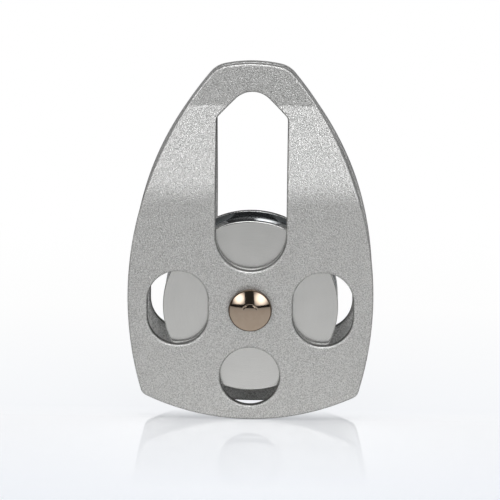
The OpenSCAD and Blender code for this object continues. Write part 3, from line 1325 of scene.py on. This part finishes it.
# The panels that the heads mirror reach a little lower
HEAD_LEFT: Corners = ((-0.250, -0.961, 0.100), LEFT[1], LEFT[2], (-0.76, -0.65, 0.03))
HEAD_RIGHT: Corners = ((0.190, -0.979, 0.030), RIGHT[1], RIGHT[2], (0.78, -0.62, 0.04))
TOP: Corners = (
    (-0.45, -0.45, 0.86),
    (0.45, -0.45, 0.86),
    (0.45, 0.10, 0.86),
    (-0.45, 0.10, 0.86),
)
LEFT_SIDE: Corners = (
    (-0.90, -0.40, 0.0),
    (-0.76, -0.34, 0.55),
    (-0.76, 0.34, 0.55),
    (-0.90, 0.40, 0.0),
)
RIGHT_SIDE: Corners = tuple((-x, y, z) for x, y, z in LEFT_SIDE)
REAR: Corners = (
    (0.75, 0.66, 0.02),
    (0.70, 0.62, 0.36),
    (-0.70, 0.62, 0.36),
    (-0.75, 0.66, 0.02),
)
GLINT: Corners = (
    (0.01, -0.99, 0.13),
    (0.03, -0.82, 0.58),
    (0.15, -0.82, 0.56),
    (0.15, -0.99, 0.12),
)


@dataclass(frozen=True)
class Softbox:
    """A diffusing light panel, bright in its middle and fading to its corners."""

    name: str
    corners: Corners
    centre_level: float
    edge_level: float = 0.3
    lit: tuple[bpy.types.Object, ...] = ()
    unlit: tuple[bpy.types.Object, ...] = ()
    distance: float = 0.9
    full_share: float = 0.15  # of the way to a corner, with the middle's full level
    faded_share: float = 0.9  # and where the fading ends

    def build(self) -> None:
        """Makes the panel, which the camera doesn't see."""
        rays = [unit(Vector(c)) for c in self.corners]
        facing = unit(sum(rays, Vector()))
        bm = bmesh.new()
        for ray in rays:
            bm.verts.new(ray * (self.distance / ray.dot(facing)))
        bmesh.ops.contextual_create(bm, geom=bm.verts[:])
        middle = sum((v.co for v in bm.verts), Vector()) / len(rays)
        reach = max((v.co - middle).length for v in bm.verts)
        material, tree = new_material(self.name)
        place = add_node(tree, "TexCoord").outputs["Object"]
        away = add_node(tree, "VectorMath", {0: place, 1: middle}, operation="DISTANCE")
        fade = Ramp(
            self.full_share * reach, self.faded_share * reach, self.centre_level, self.edge_level
        )
        level = add_node(
            tree, "MapRange", fade.feed(away.outputs["Value"]), interpolation_type="SMOOTHSTEP"
        )
        end_lamp(tree, level.outputs["Result"])
        panel = as_object(bm, self.name, [material])
        panel.visible_camera = panel.visible_shadow = False
        if self.lit:
            link_light(panel, Lights.ONLY, self.lit)
        if self.unlit:
            link_light(panel, Lights.ALL_BUT, self.unlit)
        panel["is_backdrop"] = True


@dataclass
class Studio:
    """The floor, the light panels and the white surround."""

    floor_z: float
    axle: bpy.types.Object
    wheel: bpy.types.Object
    floor_r: float = 6.0
    floor_facets: int = 96
    tent_r: float = 2.0
    tent_facets: int = 64
    tent_level: float = 0.97
    room_level: float = 0.035

    def floor(self) -> bpy.types.Object:
        """Lays the floor under the pulley's foot.

        Returns:
            The floor.
        """
        bm = bmesh.new()
        bmesh.ops.create_circle(
            bm, cap_ends=True, radius=self.floor_r, segments=self.floor_facets
        )
        bmesh.ops.translate(bm, verts=bm.verts, vec=(0, 0, self.floor_z))
        piece = as_object(bm, "floor", [TableTop().build()])
        piece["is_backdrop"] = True
        return piece

    def surround(self) -> None:
        """Makes the world: white to the camera, a dim room to everything else."""
        world = bpy.data.worlds.new("studio")
        bpy.context.scene.world = world
        world.use_nodes = True
        tree = world.node_tree
        tree.nodes.clear()
        camera = add_node(tree, "LightPath").outputs["Is Camera Ray"]
        level = add_node(tree, "Math", {0: camera, 1: self.room_level}, operation="MAXIMUM")
        sky = add_node(
            tree, "Background", {"Color": linear("#FFFFFF"), "Strength": level.outputs[0]}
        )
        add_node(tree, "OutputWorld", {"Surface": sky.outputs[0]})

    def backdrop(self, floor: bpy.types.Object) -> None:
        """Puts a white tent round the pulley that only the floor mirrors.

        Args:
            floor: The floor.
        """
        bm = bmesh.new()
        bmesh.ops.create_uvsphere(
            bm, u_segments=self.tent_facets, v_segments=self.tent_facets // 2, radius=self.tent_r
        )
        material, tree = new_material("white_tent_cloth")
        end_lamp(tree, self.tent_level)
        tent = as_object(bm, "white_tent", [material])
        tent.visible_camera = tent.visible_diffuse = tent.visible_shadow = False
        link_light(tent, Lights.ONLY, (floor,))
        tent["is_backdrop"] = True

    def panels(self, floor: bpy.types.Object) -> None:
        """Hangs the light panels round the pulley.

        Two large ones in front light everything but the domed head, which mirrors two softer
        ones of its own. One hangs above, one on each side and one behind. A small card in
        front of the eye gives the rope groove its glint.

        Args:
            floor: The floor, which mirrors the white tent and not the rear panel.
        """
        axle, wheel = (self.axle,), (self.wheel,)
        for panel in (
            Softbox("left_panel", LEFT, centre_level=5.4, unlit=axle),
            Softbox("right_panel", RIGHT, centre_level=4.5, unlit=axle),
            Softbox("head_left_panel", HEAD_LEFT, centre_level=3.0, edge_level=0.35, lit=axle),
            Softbox("head_right_panel", HEAD_RIGHT, centre_level=3.0, edge_level=0.35, lit=axle),
            Softbox("top_panel", TOP, centre_level=3.2, edge_level=2.7),
            Softbox("left_side_panel", LEFT_SIDE, centre_level=0.85, edge_level=0.7),
            Softbox("right_side_panel", RIGHT_SIDE, centre_level=0.85, edge_level=0.7),
            Softbox("rear_panel", REAR, centre_level=0.5, edge_level=0.4, unlit=(*wheel, floor)),
            Softbox("groove_card", GLINT, centre_level=1.9, edge_level=0.05, lit=wheel),
        ):
            panel.build()

    def build(self) -> None:
        """Sets the whole studio up."""
        floor = self.floor()
        self.backdrop(floor)
        self.surround()
        self.panels(floor)
        settings = bpy.context.scene.view_settings
        settings.view_transform = "Standard"


def main() -> None:
    """Builds and dresses the pulley, then its studio and camera."""
    logging.basicConfig(level=logging.INFO, format="%(message)s")
    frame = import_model()
    cad_box = [list(corner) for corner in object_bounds()]
    plate, punched_and_shaded = BlastedAluminium().build(), PUNCHED_AND_SHADED_WALL.build()
    for side in Side:
        SidePlate(side, Joggle()).build(plate, punched_and_shaded)
    wheel = Sheave().build(SHEAVE_FACE.build(), SHEAVE_GROOVE.build())
    axle = AxleRivet().build(NickelPlate().build(), HEAD_EDGE_PAINTED_SHADE.build())
    BearingSet(frame["nodes"]).dress()
    Studio(cad_box[0][2], axle, wheel).build()
    PhotoCamera().build()


if __name__ == "__main__":
    main()
